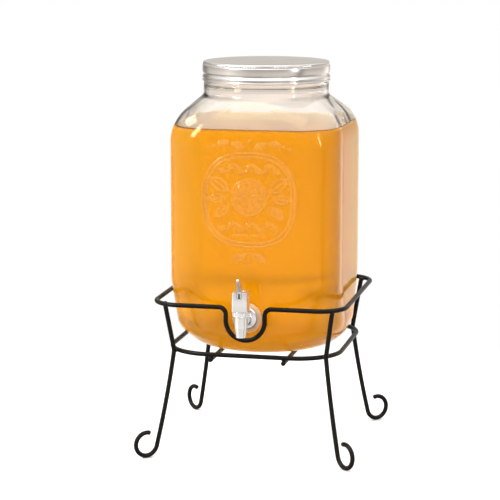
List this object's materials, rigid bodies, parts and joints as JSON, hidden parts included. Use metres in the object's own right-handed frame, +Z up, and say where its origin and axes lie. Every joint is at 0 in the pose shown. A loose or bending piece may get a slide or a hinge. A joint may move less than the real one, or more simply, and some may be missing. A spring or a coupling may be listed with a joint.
{
  "type": "beverage dispenser",
  "caption": "Rounded-square glass drink jar with a metal screw lid and a lever tap, standing in a black bent-wire rack with scroll feet.",
  "frame": {"origin": "on the floor, at the middle of the whole object's footprint; the jar's upright axis lies 11.5 mm behind it, because the tap reaches further forward than the rack does backward", "axes": "+Z up, out of the lid; the tap faces -Y; +X is the dispenser's right as seen from the front"},
  "size_m": [0.2428, 0.2588, 0.4255],
  "materials": {
    "black_wire": "semi-gloss black powder coat on 5 mm steel wire",
    "clear_glass": "clear pressed glass, slightly wavy, with relief ornament",
    "tinplate": "satin tinplate with a knurled and rolled skirt",
    "white_liner": "matte foam liner",
    "chrome_plate": "bright chrome plate on moulded plastic",
    "silicone": "translucent soft silicone",
    "white_plastic": "moulded, satin",
    "stainless_steel": "drawn wire, bright",
    "orange_drink": "clear orange drink, shown only in the visual model"
  },
  "bodies": {
    "rack": {"upper_ring": "black_wire", "lower_ring": "black_wire", "cross_bar_left": "black_wire", "cross_bar_right": "black_wire", "leg_front_left": "black_wire", "leg_front_right": "black_wire", "leg_back_left": "black_wire", "leg_back_right": "black_wire"},
    "jar": {"glass_jar": "clear_glass", "tap_body": "chrome_plate", "tap_bonnet": "chrome_plate", "tap_outer_washer": "silicone", "tap_inner_washer": "silicone", "tap_lock_nut": "white_plastic", "tap_gland_seal": "silicone", "valve_spring": "stainless_steel"},
    "lid_liner": {"lid_gasket": "white_liner"},
    "lid": {"lid_cap": "tinplate"},
    "valve": {"valve_stem": "white_plastic", "valve_seal": "silicone", "lever_pin": "stainless_steel"},
    "lever": {"tap_lever": "chrome_plate"}
  },
  "joints": [
    {"name": "jar_lift", "type": "slide", "parent": "rack", "child": "jar", "axis": [0, 0, 1], "range_m": [0, 0.2]},
    {"name": "lid_lift", "type": "slide", "parent": "jar", "child": "lid_liner", "axis": [0, 0, 1], "range_m": [0, 0.15]},
    {"name": "lid_turn", "type": "hinge", "parent": "lid_liner", "child": "lid", "pos_m": [0, 0.0115, 0.4255], "axis": [0, 0, 1], "range_deg": [0, 450]},
    {"name": "valve_lift", "type": "slide", "parent": "jar", "child": "valve", "axis": [0, 0, 1], "range_m": [0, 0.004], "stiffness_N_per_m": 1000, "springref_m": -0.003, "deforming": ["valve_spring"]},
    {"name": "lever_flip", "type": "hinge", "parent": "valve", "child": "lever", "pos_m": [0, -0.113, 0.188], "axis": [1, 0, 0], "range_deg": [0, 60]}
  ],
  "couplings": [
    {"joint": "lever_flip", "follows": "valve_lift", "rad_per_m": 261.79}
  ]
}
